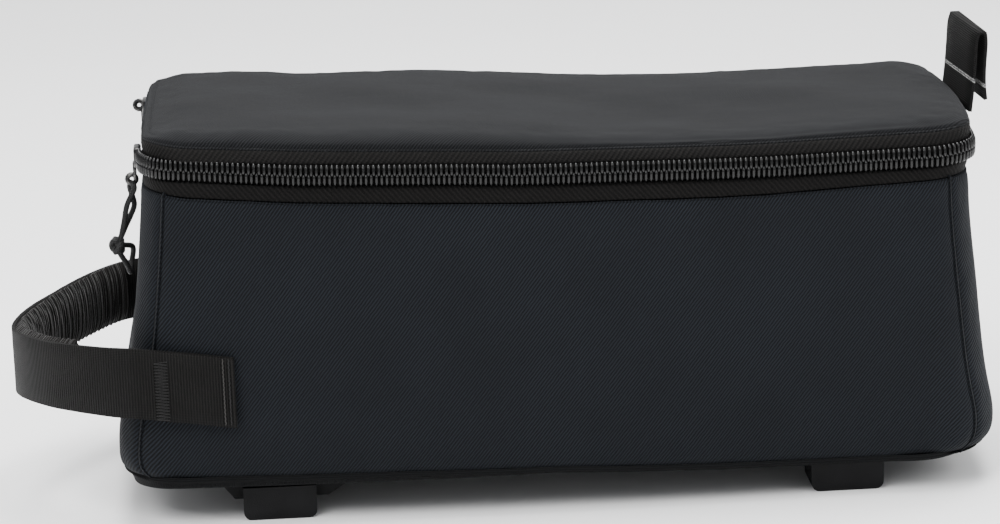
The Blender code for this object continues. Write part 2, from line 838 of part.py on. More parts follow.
def strap_height(x):
    """Height of the strap's middle: its sewn ends droop."""
    share = (x + BODY_LENGTH / 2) / STRAP_OVERLAP
    share = max(0.0, min(1.0, share))
    return HANDLE_HEIGHT - HANDLE_DROOP * share


def handle_line():
    """Stations of the webbing's inner face, front to back: place, droop and width."""
    seam_x = -BODY_LENGTH / 2
    attached = []
    steps = 7
    for i in range(steps + 1):
        x = seam_x + STRAP_OVERLAP * (1 - i / steps)
        z = strap_height(x)
        reach = max(front_surface(x, z + rise * STRAP_WIDTH) for rise in (-0.5, 0, 0.5))
        if attached and x < seam_x + CORNER_RADIUS:
            reach = max(reach, attached[-1][1])
        attached.append((x, reach + CLEARANCE))
    half_width = attached[-1][1]
    plan = [(seam_x - HANDLE_REACH * row[1], row[0] * half_width, 0.0) for row in HANDLE_PLAN]
    band = [(HANDLE_REACH * row[2], STRAP_WIDTH * row[3], 0.0) for row in HANDLE_PLAN]
    loop = [
        (place.x, place.y, form.x, form.y)
        for place, form in zip(smooth(plan, 3), smooth(band, 3))
    ]
    front = [(x, -y, 0.0, STRAP_WIDTH) for x, y in attached[:-1]]
    droop, width = band[-1][:2]
    back = [
        (x, y, droop * (1 - share / steps), width + (STRAP_WIDTH - width) * share / steps)
        for share, (x, y) in enumerate(reversed(attached[:-1]), 1)
    ]
    return front + loop + back


def add_handle(webbing_finish, pad_finish):
    """Webbing sewn to both long walls, and the pad on its inner side."""
    line = handle_line()
    webbing_sections, pad_sections = [], []
    up = Vector((0, 0, 1))
    for i, (x, y, droop, width) in enumerate(line):
        before = line[max(i - 1, 0)]
        after = line[min(i + 1, len(line) - 1)]
        out = Vector((before[1] - after[1], after[0] - before[0], 0)).normalized()
        centre = Vector((x, y, strap_height(x) - droop))
        half = up * (width / 2)
        sewn = x > -BODY_LENGTH / 2 + STRAP_OVERLAP - STRAP_HEM_LENGTH
        face = centre + out * (STRAP_HEM_THICKNESS if sewn else STRAP_THICKNESS)
        webbing_sections.append(([face - half, face + half], [centre - half, centre + half]))
        start = PAD_FRONT_START if y < 0 else PAD_BACK_START
        if -BODY_LENGTH / 2 - x < start * HANDLE_REACH:
            continue
        middle = centre + up * PAD_LIFT - out * CLEARANCE
        half = PAD_WIDTH / STRAP_WIDTH * width / 2
        inner = [
            middle + up * (height * half) - out * (depth * PAD_THICKNESS)
            for height, depth in PAD_PROFILE
        ]
        flat = [middle + up * (height * half * PAD_BACK) for height, _ in PAD_PROFILE]
        pad_sections.append((inner, flat))
    strip("handle_webbing", webbing_sections, webbing_finish)
    strip("handle_padding", pad_sections, pad_finish)


def add_tab(finish):
    """Webbing folded over on itself and sewn into the lid's right end."""
    along = TAB_PLACE / (wall_length(RIGHT) / 2)
    face = TAPE_INSET + TAPE_THICKNESS - CHAIN_THICKNESS
    base, _, _ = wall_frame(RIGHT, along, 1.0, face, CHAIN_HEIGHT / 2 + CLEARANCE)
    turn, tilt, lean = (math.radians(angle) for angle in (TAB_TURN, TAB_TILT, TAB_LEAN))
    width = Vector((-math.sin(turn), math.cos(turn) * math.cos(tilt), math.sin(tilt)))
    up = Vector((math.sin(lean), -math.sin(tilt), math.cos(tilt)))
    out = width.cross(up).normalized()
    start = base + out * TAB_STAND_OFF
    line = [
        start + out * (away * TAB_FOLD_GAP) + up * (height * TAB_HEIGHT)
        for away, height in TAB_ROUTE
    ]
    half = width * (TAB_WIDTH / 2)
    sections = []
    for i, point in enumerate(line):
        run = (line[min(i + 1, len(line) - 1)] - line[max(i - 1, 0)]).normalized()
        face = width.cross(run).normalized() * TAB_THICKNESS
        sections.append(([point - half, point + half], [point - half - face, point + half - face]))
    strip("lid_tab", sections, finish)


def add_prism(name, outline, y_low, y_high, finish, round_by=0.0):
    """A plate with an outline in X and Z, between two depths."""
    shape = bmesh.new()
    face = shape.faces.new([shape.verts.new((x, y_low, z)) for x, z in outline])
    made = bmesh.ops.extrude_face_region(shape, geom=[face])["geom"]
    moved = [item for item in made if isinstance(item, bmesh.types.BMVert)]
    bmesh.ops.translate(shape, verts=moved, vec=(0, y_high - y_low, 0))
    if round_by:
        upright = [
            edge
            for edge in shape.edges
            if abs(edge.verts[0].co.y - edge.verts[1].co.y) > (y_high - y_low) / 2
            and edge.verts[0].co.z < round_by
        ]
        bmesh.ops.bevel(
            shape, geom=upright, offset=round_by, segments=4, profile=0.5, affect="EDGES"
        )
    return add_object(name, mesh_of(name, shape), finish)


def add_adapter(finish):
    """The plate under the bag, its four feet and the ribs that carry them."""
    top = BASE_HEIGHT - CLEARANCE
    shape = bmesh.new()
    centre = Vector((FOOT_CENTRE, 0, top - PLATE_THICKNESS / 2))
    size = (PLATE_LENGTH, PLATE_WIDTH, PLATE_THICKNESS)
    solid_box(shape, centre, Vector((0, 1, 0)), size, PLATE_ROUND)
    add_object("base_plate", mesh_of("base_plate", shape), finish)
    for depth_name, facing in (("front", -1), ("back", 1)):
        for side_name, place in (("left", -1), ("right", 1)):
            middle = FOOT_CENTRE + place * FOOT_SPACING / 2
            half = FOOT_LENGTH / 2
            near, far = sorted((facing * FOOT_FACE, facing * (FOOT_FACE - FOOT_DEPTH)))
            outline = [
                (middle - half, 0),
                (middle + half, 0),
                (middle + half, top),
                (middle - half, top),
            ]
            label = f"{depth_name}_{side_name}"
            add_prism("foot_" + label, outline, near, far, finish, FOOT_ROUND)
            low_left, low_right, step_left, step_right, top_left, top_right = BRACKETS[label]
            outline = [
                (middle + reach * FOOT_LENGTH, height)
                for reach, height in (
                    (low_left, BRACKET_LIFT),
                    (low_right, BRACKET_LIFT),
                    (low_right, BRACKET_STEP),
                    (step_right, BRACKET_STEP),
                    (top_right, top),
                    (top_left, top),
                    (step_left, BRACKET_STEP),
                    (low_left, BRACKET_STEP),
                )
            ]
            inner = FOOT_FACE - FOOT_DEPTH - CLEARANCE
            near, far = sorted((facing * inner, facing * (PLATE_WIDTH / 2 + CLEARANCE)))
            add_prism("bracket_" + label, outline, near, far, finish)


def centre_on_box(solids):
    """Puts the origin under the middle of the box of the given solids."""
    corners = [vert.co for made in solids for vert in made.data.vertices]
    low = Vector(min(corner[i] for corner in corners) for i in range(3))
    high = Vector(max(corner[i] for corner in corners) for i in range(3))
    shift = Vector((-(low.x + high.x) / 2, -(low.y + high.y) / 2, 0))
    for made in list(bag.objects) + list(helpers.objects):
        made.location += shift


for old in list(bpy.data.objects):
    bpy.data.objects.remove(old)
bag = bpy.data.collections.new("bicycle_trunk_bag")
helpers = bpy.data.collections.new("joined_helpers")
bpy.context.scene.collection.children.link(bag)
bpy.context.scene.collection.children.link(helpers)

twill = material("twill", (0.012, 0.015, 0.020), 0.85)
base_cloth = material("base_cloth", (0.010, 0.011, 0.013), 0.85)
tape_cloth = material("tape_cloth", (0.010, 0.009, 0.008), 0.9)
webbing = material("webbing", (0.009, 0.008, 0.008), 0.8)
gathered = material("gathered_cloth", (0.007, 0.007, 0.007), 0.8)
coil = material("coil", (0.008, 0.008, 0.008), 0.3)
gunmetal = material("gunmetal", (0.05, 0.045, 0.04), 0.4, 0.8)
plastic = material("plastic", (0.018, 0.018, 0.019), 0.5)
cord = material("cord", (0.008, 0.008, 0.008), 0.7)

add_walls(twill)
add_bottom(base_cloth)
add_lid(twill)
add_zip(tape_cloth, coil, twill)
front_place, back_place = (
    1 - setback / (wall_length(LEFT) / 2)
    for setback in (FRONT_SLIDER_SETBACK, BACK_SLIDER_SETBACK)
)
eye_place, eye_run, eye_out = add_slider("slider_front", LEFT, front_place, -EYE_DROP, gunmetal)
add_slider("slider_back", LEFT, -back_place, BACK_EYE_LIFT, gunmetal)
add_pull(eye_place, eye_run, eye_out, cord)
add_handle(webbing, gathered)
add_tab(webbing)
add_adapter(plastic)
centre_on_box([made for made in bag.objects if not made.name.startswith("pull_")])
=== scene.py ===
import math

import bmesh
import bpy
import numpy as np
from mathutils import Matrix, Vector, noise
from mathutils.bvhtree import BVHTree
from mathutils.kdtree import KDTree


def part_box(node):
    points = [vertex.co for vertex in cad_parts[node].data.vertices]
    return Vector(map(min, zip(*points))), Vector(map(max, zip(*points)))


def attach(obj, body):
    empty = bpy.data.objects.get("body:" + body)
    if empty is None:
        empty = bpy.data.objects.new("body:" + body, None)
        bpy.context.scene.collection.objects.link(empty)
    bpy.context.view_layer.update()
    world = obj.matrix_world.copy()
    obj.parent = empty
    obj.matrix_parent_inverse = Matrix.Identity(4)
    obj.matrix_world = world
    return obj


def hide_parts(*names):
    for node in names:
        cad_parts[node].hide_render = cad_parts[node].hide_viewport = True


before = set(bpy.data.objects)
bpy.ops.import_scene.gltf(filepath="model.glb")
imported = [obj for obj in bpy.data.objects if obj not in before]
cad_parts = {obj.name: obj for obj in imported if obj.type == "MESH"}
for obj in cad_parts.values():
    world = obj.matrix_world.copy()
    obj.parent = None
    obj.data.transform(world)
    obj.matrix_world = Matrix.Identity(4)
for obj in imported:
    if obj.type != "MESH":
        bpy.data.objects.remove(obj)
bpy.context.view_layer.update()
MM = 0.001

# The camera stands low in front of the long wall, a step to the left of its middle, with
# a long lens. It is rolled a little, as the bag leans in the picture.
AIM = Vector((-1.06, 0, 90.6)) * MM
AWAY = 1575 * MM
AZIMUTH, ELEVATION, ROLL = (math.radians(angle) for angle in (-3, 14, 2))
back = Vector((math.sin(AZIMUTH), -math.cos(AZIMUTH), 0)) * math.cos(ELEVATION)
back.z = math.sin(ELEVATION)
across = (-back).cross(Vector((0, 0, 1))).normalized()
upward = across.cross(-back)
lens = bpy.data.cameras.new("camera")
lens.lens = 129.6
lens.sensor_width = 36
camera = bpy.data.objects.new("camera", lens)
bpy.context.scene.collection.objects.link(camera)
turn = Matrix(
    (
        across * math.cos(ROLL) - upward * math.sin(ROLL),
        across * math.sin(ROLL) + upward * math.cos(ROLL),
        back,
    )
).transposed()
camera.matrix_world = Matrix.Translation(AIM + AWAY * back) @ turn.to_4x4()
bpy.context.scene.camera = camera


# The cord on the front slider: one braided black cord of 2.4 mm, doubled through the
# slider's eye, tied in one knot and left as a loop to pull at.
CORD_DIAMETER = 2.4 * MM
STRAND_LEFT = [(0.2, 0.5, -1.2), (-0.9, 1.6, -3.6), (0.6, 1.6, -6.8), (2.8, 1.5, -11.5)]
STRAND_LEFT += [(4.2, 1.5, -17.8), (5.8, 1.5, -24.2)]
STRAND_RIGHT = [(5.6, -1.5, -24.2), (3.8, -1.5, -20.4), (1.5, -1.6, -16.0), (-0.3, -1.7, -11.5)]
STRAND_RIGHT += [(0.5, -1.7, -7.0), (1.2, -1.6, -3.5), (0.4, -0.6, -1.2)]
LOOP = [(7.4, -1.0, -28.2), (5.2, -5.4, -29.6), (2.4, -11.0, -31.4), (2.0, -16.2, -34.6)]
LOOP += [(2.9, -17.4, -39.4), (3.5, -13.6, -42.9), (3.6, -8.0, -41.6), (4.4, -3.8, -37.6)]
LOOP += [(6.6, -0.6, -32.4), (7.6, 0.2, -28.4)]
KNOT_PLACE = (7.7, 0.0, -28.4)


def smooth(points, step):
    """Points at even steps along a smooth curve through the given ones."""
    ends = [2 * points[0] - points[1], *points, 2 * points[-1] - points[-2]]
    made = []
    for a, b, c, d in zip(ends, ends[1:], ends[2:], ends[3:]):
        count = max(2, round((c - b).length / step))
        for i in range(count):
            t = i / count
            made.append(
                0.5 * (2 * b + (c - a) * t + (2 * a - 5 * b + 4 * c - d) * t * t
                       + (3 * b - a - 3 * c + d) * t**3)
            )
    return made + [points[-1]]


def add_mesh(name, points, faces, uvs=None):
    """Object of a mesh from its points, its faces and a place in the cloth for each point."""
    mesh = bpy.data.meshes.new(name)
    mesh.from_pydata([tuple(point) for point in points], [], faces)
    layer = mesh.uv_layers.new(name="cloth")
    if uvs is not None:
        for loop in mesh.loops:
            layer.data[loop.index].uv = uvs[loop.vertex_index]
    for face in mesh.polygons:
        face.use_smooth = True
    piece = bpy.data.objects.new(name, mesh)
    bpy.context.scene.collection.objects.link(piece)
    return piece


def tube_mesh(path, radius, sides):
    """Points, faces and cloth places of a round tube with closed ends."""
    points, uvs, faces, length = [], [], [], 0.0
    normal = (path[1] - path[0]).orthogonal().normalized()
    for i, centre in enumerate(path):
        run = (path[min(i + 1, len(path) - 1)] - path[max(i - 1, 0)]).normalized()
        normal = (normal - run * normal.dot(run)).normalized()
        other = run.cross(normal)
        length += (centre - path[i - 1]).length if i else 0.0
        for j in range(sides):
            angle = 2 * math.pi * j / sides
            points.append(centre + radius * (math.cos(angle) * normal + math.sin(angle) * other))
            uvs.append((radius * 2 * math.pi * j / sides, length))
    for i in range(len(path) - 1):
        for j in range(sides):
            k = (j + 1) % sides
            faces.append([i * sides + j, i * sides + k, (i + 1) * sides + k, (i + 1) * sides + j])
    faces.append(list(range(sides))[::-1])
    faces.append([len(points) - sides + j for j in range(sides)])
    return points, faces, uvs


def tube(name, path, radius, sides=10):
    return add_mesh(name, *tube_mesh(path, radius, sides))


def add_node(material, kind, inputs=(), **settings):
    """Shader node with its settings, its plain inputs and its links."""
    made = material.node_tree.nodes.new("ShaderNode" + kind)
    for key, value in settings.items():
        setattr(made, key, value)
    for socket, value in dict(inputs).items():
        if isinstance(value, bpy.types.NodeSocket):
            material.node_tree.links.new(value, made.inputs[socket])
        else:
            made.inputs[socket].default_value = value
    return made


def new_material(name, **sockets):
    """Principled material and its main shader, with its sockets set."""
    material = bpy.data.materials.new(name)
    material.use_nodes = True
    main = material.node_tree.nodes["Principled BSDF"]
    for socket, value in sockets.items():
        main.inputs[socket.replace("_", " ")].default_value = value
    return material, main


WAVE_UNIT = math.pi / 10  # a wave texture of this scale has bands one unit apart


def lines(material, pitch, lean, wander=0.6):
    """Bands of the cloth's own map, a pitch apart, that lean by an angle in degrees."""
    place = add_node(material, "UVMap", uv_map="cloth")
    turned = add_node(material, "Mapping", {0: place.outputs[0], 2: (0, 0, math.radians(lean))})
    return add_node(
        material,
        "TexWave",
        {0: turned.outputs[0], "Scale": WAVE_UNIT / pitch, "Distortion": wander,
         "Detail": 2.0, "Detail Scale": 1.6},
    ).outputs["Fac"]


def blotches(material, size, detail=4.0):
    """Soft noise in the object's own space, with patches of about the given size."""
    place = add_node(material, "TexCoord")
    return add_node(
        material, "TexNoise",
        {"Vector": place.outputs["Object"], "Scale": 1 / size, "Detail": detail},
    ).outputs["Fac"]


def blend(material, factor, low, high, start=0.0, end=1.0):
    """Colour between two others, by a factor that runs from start to end."""
    ramp = add_node(material, "ValToRGB", {0: factor})
    ramp.color_ramp.elements[0].position = start
    ramp.color_ramp.elements[1].position = end
    ramp.color_ramp.elements[0].color = (*low, 1)
    ramp.color_ramp.elements[1].color = (*high, 1)
    return ramp.outputs[0]


def multiply(material, first, second, share):
    mixed = add_node(
        material, "Mix", {0: share, 6: first, 7: second}, data_type="RGBA", blend_type="MULTIPLY"
    )
    return mixed.outputs[2]


def raise_by(material, main, layers):
    """Bump from several heights, each with its depth in metres."""
    normal = None
    for height, depth in layers:
        inputs = {"Height": height, "Distance": depth, "Strength": 1.0}
        if normal:
            inputs["Normal"] = normal
        normal = add_node(material, "Bump", inputs).outputs[0]
    material.node_tree.links.new(normal, main.inputs["Normal"])


def braid_material():
    """Black braid: two sets of yarns that cross round the cord."""
    material, main = new_material(
        "braid", Roughness=0.55, Sheen_Weight=0.02, Specular_IOR_Level=0.3
    )
    one = lines(material, 0.95 * MM, 38, 0.3)
    other = lines(material, 0.95 * MM, -38, 0.3)
    crossed = add_node(material, "Math", {0: one, 1: other}, operation="MAXIMUM").outputs[0]
    tint = blend(material, crossed, (0.001, 0.001, 0.0011), (0.009, 0.009, 0.0095), 0.3, 1.0)
    worn = blend(material, blotches(material, 6 * MM), (0.7, 0.7, 0.7), (1, 1, 1), 0.35, 0.65)
    material.node_tree.links.new(multiply(material, tint, worn, 0.8), main.inputs[0])
    raise_by(material, main, [(crossed, 0.35 * MM), (blotches(material, 0.4 * MM), 0.08 * MM)])
    return material


lowest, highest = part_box("slider_front")
eye = Vector((lowest[0] + 3 * MM, (lowest[1] + highest[1]) / 2, lowest[2] + 3 * MM))


def from_eye(places):
    """Points from their distance off the wall, towards the viewer and up from the eye."""
    return [eye + Vector((-away, -near, up)) * MM for away, near, up in places]


braid = braid_material()
cord_path = smooth(from_eye(STRAND_LEFT + LOOP + STRAND_RIGHT), 0.8 * MM)
pull_cord = tube("pull_cord", cord_path, CORD_DIAMETER / 2, 12)
knot_turns = []
for i in range(49):
    t = 2 * math.pi * i / 48
    wide = 1.75 + 0.75 * math.cos(3 * t)
    knot_turns.append(
        Vector((wide * math.cos(2 * t), wide * math.sin(2 * t), 2.6 * math.sin(3 * t)))
    )
knot_path = from_eye([Vector(KNOT_PLACE) + turn for turn in knot_turns])
knot = tube("cord_knot", knot_path, CORD_DIAMETER / 2 * 0.98, 12)
for piece in (pull_cord, knot):
    piece.data.materials.append(braid)
    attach(piece, "root")
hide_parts("pull_strand_left", "pull_strand_right", "pull_loop")
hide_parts("pull_knot")


# The walls: four foam-backed panels of navy twill, sewn edge to edge at the corners and
# turned in at every seam, so that each seam is a groove with small puckers beside it.
MIDDLE = 17.8 * MM
CORNER = 20 * MM
STRAIGHT_X = 156 * MM
STRAIGHT_Y = 55 * MM
HALF_ROUND = 2 * STRAIGHT_X + 2 * STRAIGHT_Y + math.pi * CORNER


def around(x, y):
    """Length round the bag from the middle of its right end, and the distance out."""
    along = abs(x - MIDDLE) - STRAIGHT_X
    aside = abs(y) - STRAIGHT_Y
    if along > 0 and aside > 0:
        length = STRAIGHT_Y + CORNER * math.atan2(aside, along)
        out = math.hypot(along, aside) - CORNER
    elif along > aside:
        length, out = STRAIGHT_Y + aside, along - CORNER
    else:
        length, out = STRAIGHT_Y + CORNER * math.pi / 2 - along, aside - CORNER
    if x < MIDDLE:
        length = HALF_ROUND - length
    return (length if y > 0 else -length), out


def cloth_copy(name, node, levels, sharp=0.7):
    """A copy of a solid as one closed mesh of quads, subdivided with its rims kept."""
    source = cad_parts[node]
    shape = bmesh.new()
    shape.from_mesh(source.data)
    shape.transform(source.matrix_world)
    bmesh.ops.remove_doubles(shape, verts=shape.verts[:], dist=0.005 * MM)
    bmesh.ops.join_triangles(
        shape, faces=shape.faces[:], angle_face_threshold=0.6, angle_shape_threshold=1.2
    )
    bmesh.ops.recalc_face_normals(shape, faces=shape.faces[:])
    crease = shape.edges.layers.float.new("crease_edge")
    for edge in shape.edges:
        if len(edge.link_faces) == 2 and edge.calc_face_angle() > sharp:
            edge[crease] = 1.0
    mesh = bpy.data.meshes.new(name)
    shape.to_mesh(mesh)
    shape.free()
    piece = bpy.data.objects.new(name, mesh)
    bpy.context.scene.collection.objects.link(piece)
    if levels:
        subdivision = piece.modifiers.new("subdivision", "SUBSURF")
        subdivision.levels = levels
        subdivision.render_levels = levels
        bpy.ops.object.select_all(action="DESELECT")
        piece.select_set(True)
        bpy.context.view_layer.objects.active = piece
        bpy.ops.object.modifier_apply(modifier="subdivision")
    for face in piece.data.polygons:
        face.use_smooth = True
    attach(piece, "root")
    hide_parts(node)
    return piece


def outwards(piece, heart):
    """For each point, the way out of the bag, the same on both faces of the cloth."""
    ways = []
    for vertex in piece.data.vertices:
        way = vertex.normal.copy()
        if way.dot(vertex.co - heart) < 0:
            way = -way
        ways.append(way)
    return ways


def rim_distance(piece, sharp=0.7):
    """For each point, how far the nearest rim of the cloth is."""
    shape = bmesh.new()
    shape.from_mesh(piece.data)
    rim = {v.index: v.co.copy() for e in shape.edges
           if len(e.link_faces) == 2 and e.calc_face_angle() > sharp for v in e.verts}
    shape.free()
    tree = KDTree(len(rim))
    for index, place in rim.items():
        tree.insert(place, index)
    tree.balance()
    return [tree.find(vertex.co)[2] for vertex in piece.data.vertices]


def soften(piece, heart, turned_in, pucker, wave):
    """Turns the rims in, puckers the cloth beside them and lets the rest wave a little."""
    ways = outwards(piece, heart)
    away = rim_distance(piece)
    for vertex, way, gap in zip(piece.data.vertices, ways, away):
        place = vertex.co
        roll = max(0.0, 1 - gap / (4.5 * MM)) ** 2
        beside = math.exp(-((gap - 6 * MM) / (7 * MM)) ** 2)
        small = noise.noise(place * 110) + 0.5 * noise.noise(place * 230)
        broad = noise.noise(place * 14) + 0.45 * noise.noise(place * 37)
        fade = min(1.0, gap / (12 * MM))
        move = -turned_in * roll + pucker * small * beside + wave * broad * fade
        vertex.co = place + way * move * MM
    piece.data.update()


def map_walls(piece, turned=False):
    """Cloth places of a wall: the length round the bag, and the height."""
    layer = piece.data.uv_layers.new(name="cloth")
    for loop in piece.data.loops:
        x, y, z = piece.data.vertices[loop.vertex_index].co
        length, _ = around(x, y)
        if turned and length < 0:
            length += 2 * HALF_ROUND
        layer.data[loop.index].uv = (length, z)


def twill_material(name, low, high, pitch, lean, fuzz=0.03):
    """Twill: raised slanting cords of yarn, uneven, dusty and a little faded in patches."""
    material, main = new_material(
        name, Roughness=0.86, Sheen_Weight=fuzz, Sheen_Roughness=0.45, Specular_IOR_Level=0.12
    )
    cords = lines(material, pitch, lean, 1.4)
    yarns = lines(material, 0.55 * pitch, lean + 76, 1.8)
    tint = blend(material, cords, low, high, 0.15, 0.95)
    cross = blend(material, yarns, (0.66, 0.66, 0.66), (1, 1, 1), 0.1, 0.8)
    cloud = blend(
        material, blotches(material, 32 * MM, 5), (0.74, 0.74, 0.75), (1, 1, 1), 0.3, 0.7
    )
    lint = blend(
        material, blotches(material, 0.8 * MM, 2), (1, 1, 1), (1.5, 1.5, 1.5), 0.62, 0.8
    )
    colour = multiply(material, tint, cross, 0.75)
    colour = multiply(material, colour, cloud, 0.8)
    colour = multiply(material, colour, lint, 0.7)
    material.node_tree.links.new(colour, main.inputs[0])
    raise_by(
        material,
        main,
        [(blotches(material, 9 * MM), 0.4 * MM), (cords, 0.2 * MM), (yarns, 0.06 * MM),
         (blotches(material, 0.45 * MM), 0.12 * MM)],
    )
    return material


HEART = Vector((MIDDLE, 0, 80 * MM))
TWILL_PITCH = 1.18 * MM
TWILL_LEAN = 38
wall_cloth = twill_material(
    "twill", (0.0007, 0.0009, 0.0014), (0.0115, 0.0140, 0.0185), TWILL_PITCH, TWILL_LEAN
)
for node in ("side_panel_front", "side_panel_back", "end_panel_left", "end_panel_right"):
    panel = cloth_copy(node.replace("panel", "cloth"), node, 3)
    soften(panel, HEART, 1.1, 0.28, 0.75)
    map_walls(panel, node == "end_panel_left")
    panel.data.materials.append(wall_cloth)


# The base: one tray of thicker coated cloth under the walls, its near-black tone painted shade
# under them. A folded binding tape of the same darkened cloth is sewn round the edge where it
# meets them.
# Near black, far darker than the walls' twill: painted shade under the bag, on a weave of its
# own.
base_cloth = twill_material(
    "base_cloth", (0.0008, 0.0009, 0.0011), (0.003, 0.0034, 0.0042), 1.0 * MM, 0
)
tray = cloth_copy("bottom_cloth", "bottom_panel", 2)
soften(tray, HEART, 0.0, 0.1, 0.25)
map_walls(tray)
tray.data.materials.append(base_cloth)


def lower_edge(nodes):
    """Outer lower edge of the wall solids, in order round the bag."""
    found = []
    for node in nodes:
        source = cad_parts[node]
        for vertex in source.data.vertices:
            place = source.matrix_world @ vertex.co
            length, out = around(place.x, place.y)
            found.append((length, out, place))
    lowest = [
        row for row in found
        if not any(abs(row[0] - o[0]) < 14 * MM and o[2].z < row[2].z - 2 * MM for o in found)
    ]
    outer = [
        row for row in lowest
        if not any(abs(row[0] - o[0]) < 5 * MM and o[1] > row[1] + 0.6 * MM for o in lowest)
    ]
    return [row[2] for row in sorted(outer, key=lambda row: row[0])]


def thin_out(points, gap):
    kept = [points[0]]
    for point in points[1:]:
        if (point - kept[-1]).length > gap:
            kept.append(point)
    return kept


WALLS = ("side_panel_front", "side_panel_back", "end_panel_left", "end_panel_right")
binding_path = thin_out(lower_edge(WALLS), 6 * MM)
BINDING_RADIUS = 1.35 * MM
BINDING_DROP = Vector((0, 0, -0.2 * MM))
binding_path = [place + BINDING_DROP for place in binding_path + binding_path[:1]]
binding = tube("bottom_binding", smooth(binding_path, 2 * MM), BINDING_RADIUS, 8)
binding.data.materials.append(base_cloth)
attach(binding, "root")


# The zip's tapes: black herringbone tape, the upper lines rising and the lower falling,
# each sewn to the cloth along its far edge.
TAPE_PITCH = 1.75 * MM
TAPE_LEAN = 40
TAPE_YARN = ((0.0009, 0.0008, 0.0007), (0.0052, 0.0045, 0.0042))
tape_up = twill_material("tape_up", *TAPE_YARN, TAPE_PITCH, TAPE_LEAN, 0.02)
tape_down = twill_material("tape_down", *TAPE_YARN, TAPE_PITCH, -TAPE_LEAN, 0.02)
for node, finish in (("zipper_tape_upper", tape_up), ("zipper_tape_lower", tape_down)):
    tape = cloth_copy(node.replace("zipper", "zip"), node, 2)
    soften(tape, HEART, 0.35, 0.12, 0.0)
    map_walls(tape)
    tape.data.materials.append(finish)


# The chain: a black nylon coil zip. Two rows of upright rounded teeth hook into each
# other in the middle, over a dark woven core.
TOOTH_PITCH = 2.14 * MM
TOOTH_ROUTE = [(0.5, 4.1), (1.7, 3.7), (1.95, 2.6), (2.0, 1.2), (2.2, 0.5), (1.2, -0.1)]


def chain_line(node):
    """Middle line of the chain's solid, as its length, distance out and height."""
    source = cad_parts[node]
    rows = []
    for vertex in source.data.vertices:
        place = source.matrix_world @ vertex.co
        length, out = around(place.x, place.y)
        rows.append((length, out, place.z))
    rows.sort()
    groups = [[rows[0]]]
    for row in rows[1:]:
        if row[0] - groups[-1][-1][0] > 1.2 * MM:
            groups.append([])
        groups[-1].append(row)
    whole = 0.8 * np.median([len(group) for group in groups])
    line = []
    for group in [group for group in groups if len(group) > whole]:
        spread = np.array(group)
        line.append((spread.min(0) + spread.max(0)) / 2)
    return np.array(line)


def place_of(length, out):
    """Point in plan of a length round the bag and a distance out of its skin."""
    side = 1 if length > 0 else -1
    length = abs(length)
    left = length > HALF_ROUND / 2
    if left:
        length = HALF_ROUND - length
    if length < STRAIGHT_Y:
        x, y = STRAIGHT_X + CORNER + out, length
    elif length < STRAIGHT_Y + CORNER * math.pi / 2:
        angle = (length - STRAIGHT_Y) / CORNER
        x = STRAIGHT_X + (CORNER + out) * math.cos(angle)
        y = STRAIGHT_Y + (CORNER + out) * math.sin(angle)
    else:
        x = STRAIGHT_X - (length - STRAIGHT_Y - CORNER * math.pi / 2)
        y = STRAIGHT_Y + CORNER + out
    return Vector((MIDDLE + (-x if left else x), side * y, 0))


def teeth(name, line):
    """Both rows of teeth as one mesh, each tooth a short bent bar."""
    points, faces, uvs = [], [], []
    count = int((line[-1, 0] - line[0, 0]) / TOOTH_PITCH)
    for row, sign in ((0, 1), (1, -1)):
        for i in range(count):
            length = line[0, 0] + (i + 0.25 + 0.5 * row) * TOOTH_PITCH
            out = np.interp(length, line[:, 0], line[:, 1])
            height = np.interp(length, line[:, 0], line[:, 2])
            here = place_of(length, out)
            ahead = place_of(length + 0.5 * MM, out)
            run = (ahead - here).normalized()
            way = Vector((run.y, -run.x, 0))
            if way.dot(here - HEART) < 0:
                way = -way
            here.z = height
            jitter = 0.06 * noise.noise(Vector((length * 900, row, 0)))
            route = [
                here + way * (o - 0.75 + jitter) * MM + Vector((0, 0, sign * u * MM))
                for o, u in TOOTH_ROUTE
            ]
            bar, bar_faces, bar_uvs = tube_mesh(route, 0.72 * MM, 6)
            faces += [[len(points) + k for k in face] for face in bar_faces]
            points += bar
            uvs += bar_uvs
    return add_mesh(name, points, faces, uvs)


def coil_material():
    """Moulded black nylon: glossy where the heads are rubbed, with fine scratches."""
    material, main = new_material("coil", Specular_IOR_Level=0.3)
    rubbed = blotches(material, 5 * MM)
    tint = blend(material, rubbed, (0.0008, 0.0008, 0.0009), (0.003, 0.003, 0.003), 0.3, 0.7)
    material.node_tree.links.new(tint, main.inputs[0])
    rough = add_node(material, "MapRange", {0: rubbed, 3: 0.16, 4: 0.3}).outputs[0]
    material.node_tree.links.new(rough, main.inputs["Roughness"])
    raise_by(material, main, [(blotches(material, 0.5 * MM), 0.05 * MM)])
    return material


coil = coil_material()
line = chain_line("zipper_chain")
zip_teeth = teeth("zip_teeth", line)
zip_teeth.data.materials.append(coil)
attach(zip_teeth, "root")
core = cloth_copy("zip_core", "zipper_chain", 1)
for vertex in core.data.vertices:
    length, out = around(vertex.co.x, vertex.co.y)
    middle = np.interp(length, line[:, 0], line[:, 1])
    flat = place_of(length, middle + 0.35 * (out - middle) - 0.7 * MM)
    vertex.co = (flat.x, flat.y, vertex.co.z)
map_walls(core)
core.data.materials.append(tape_down)


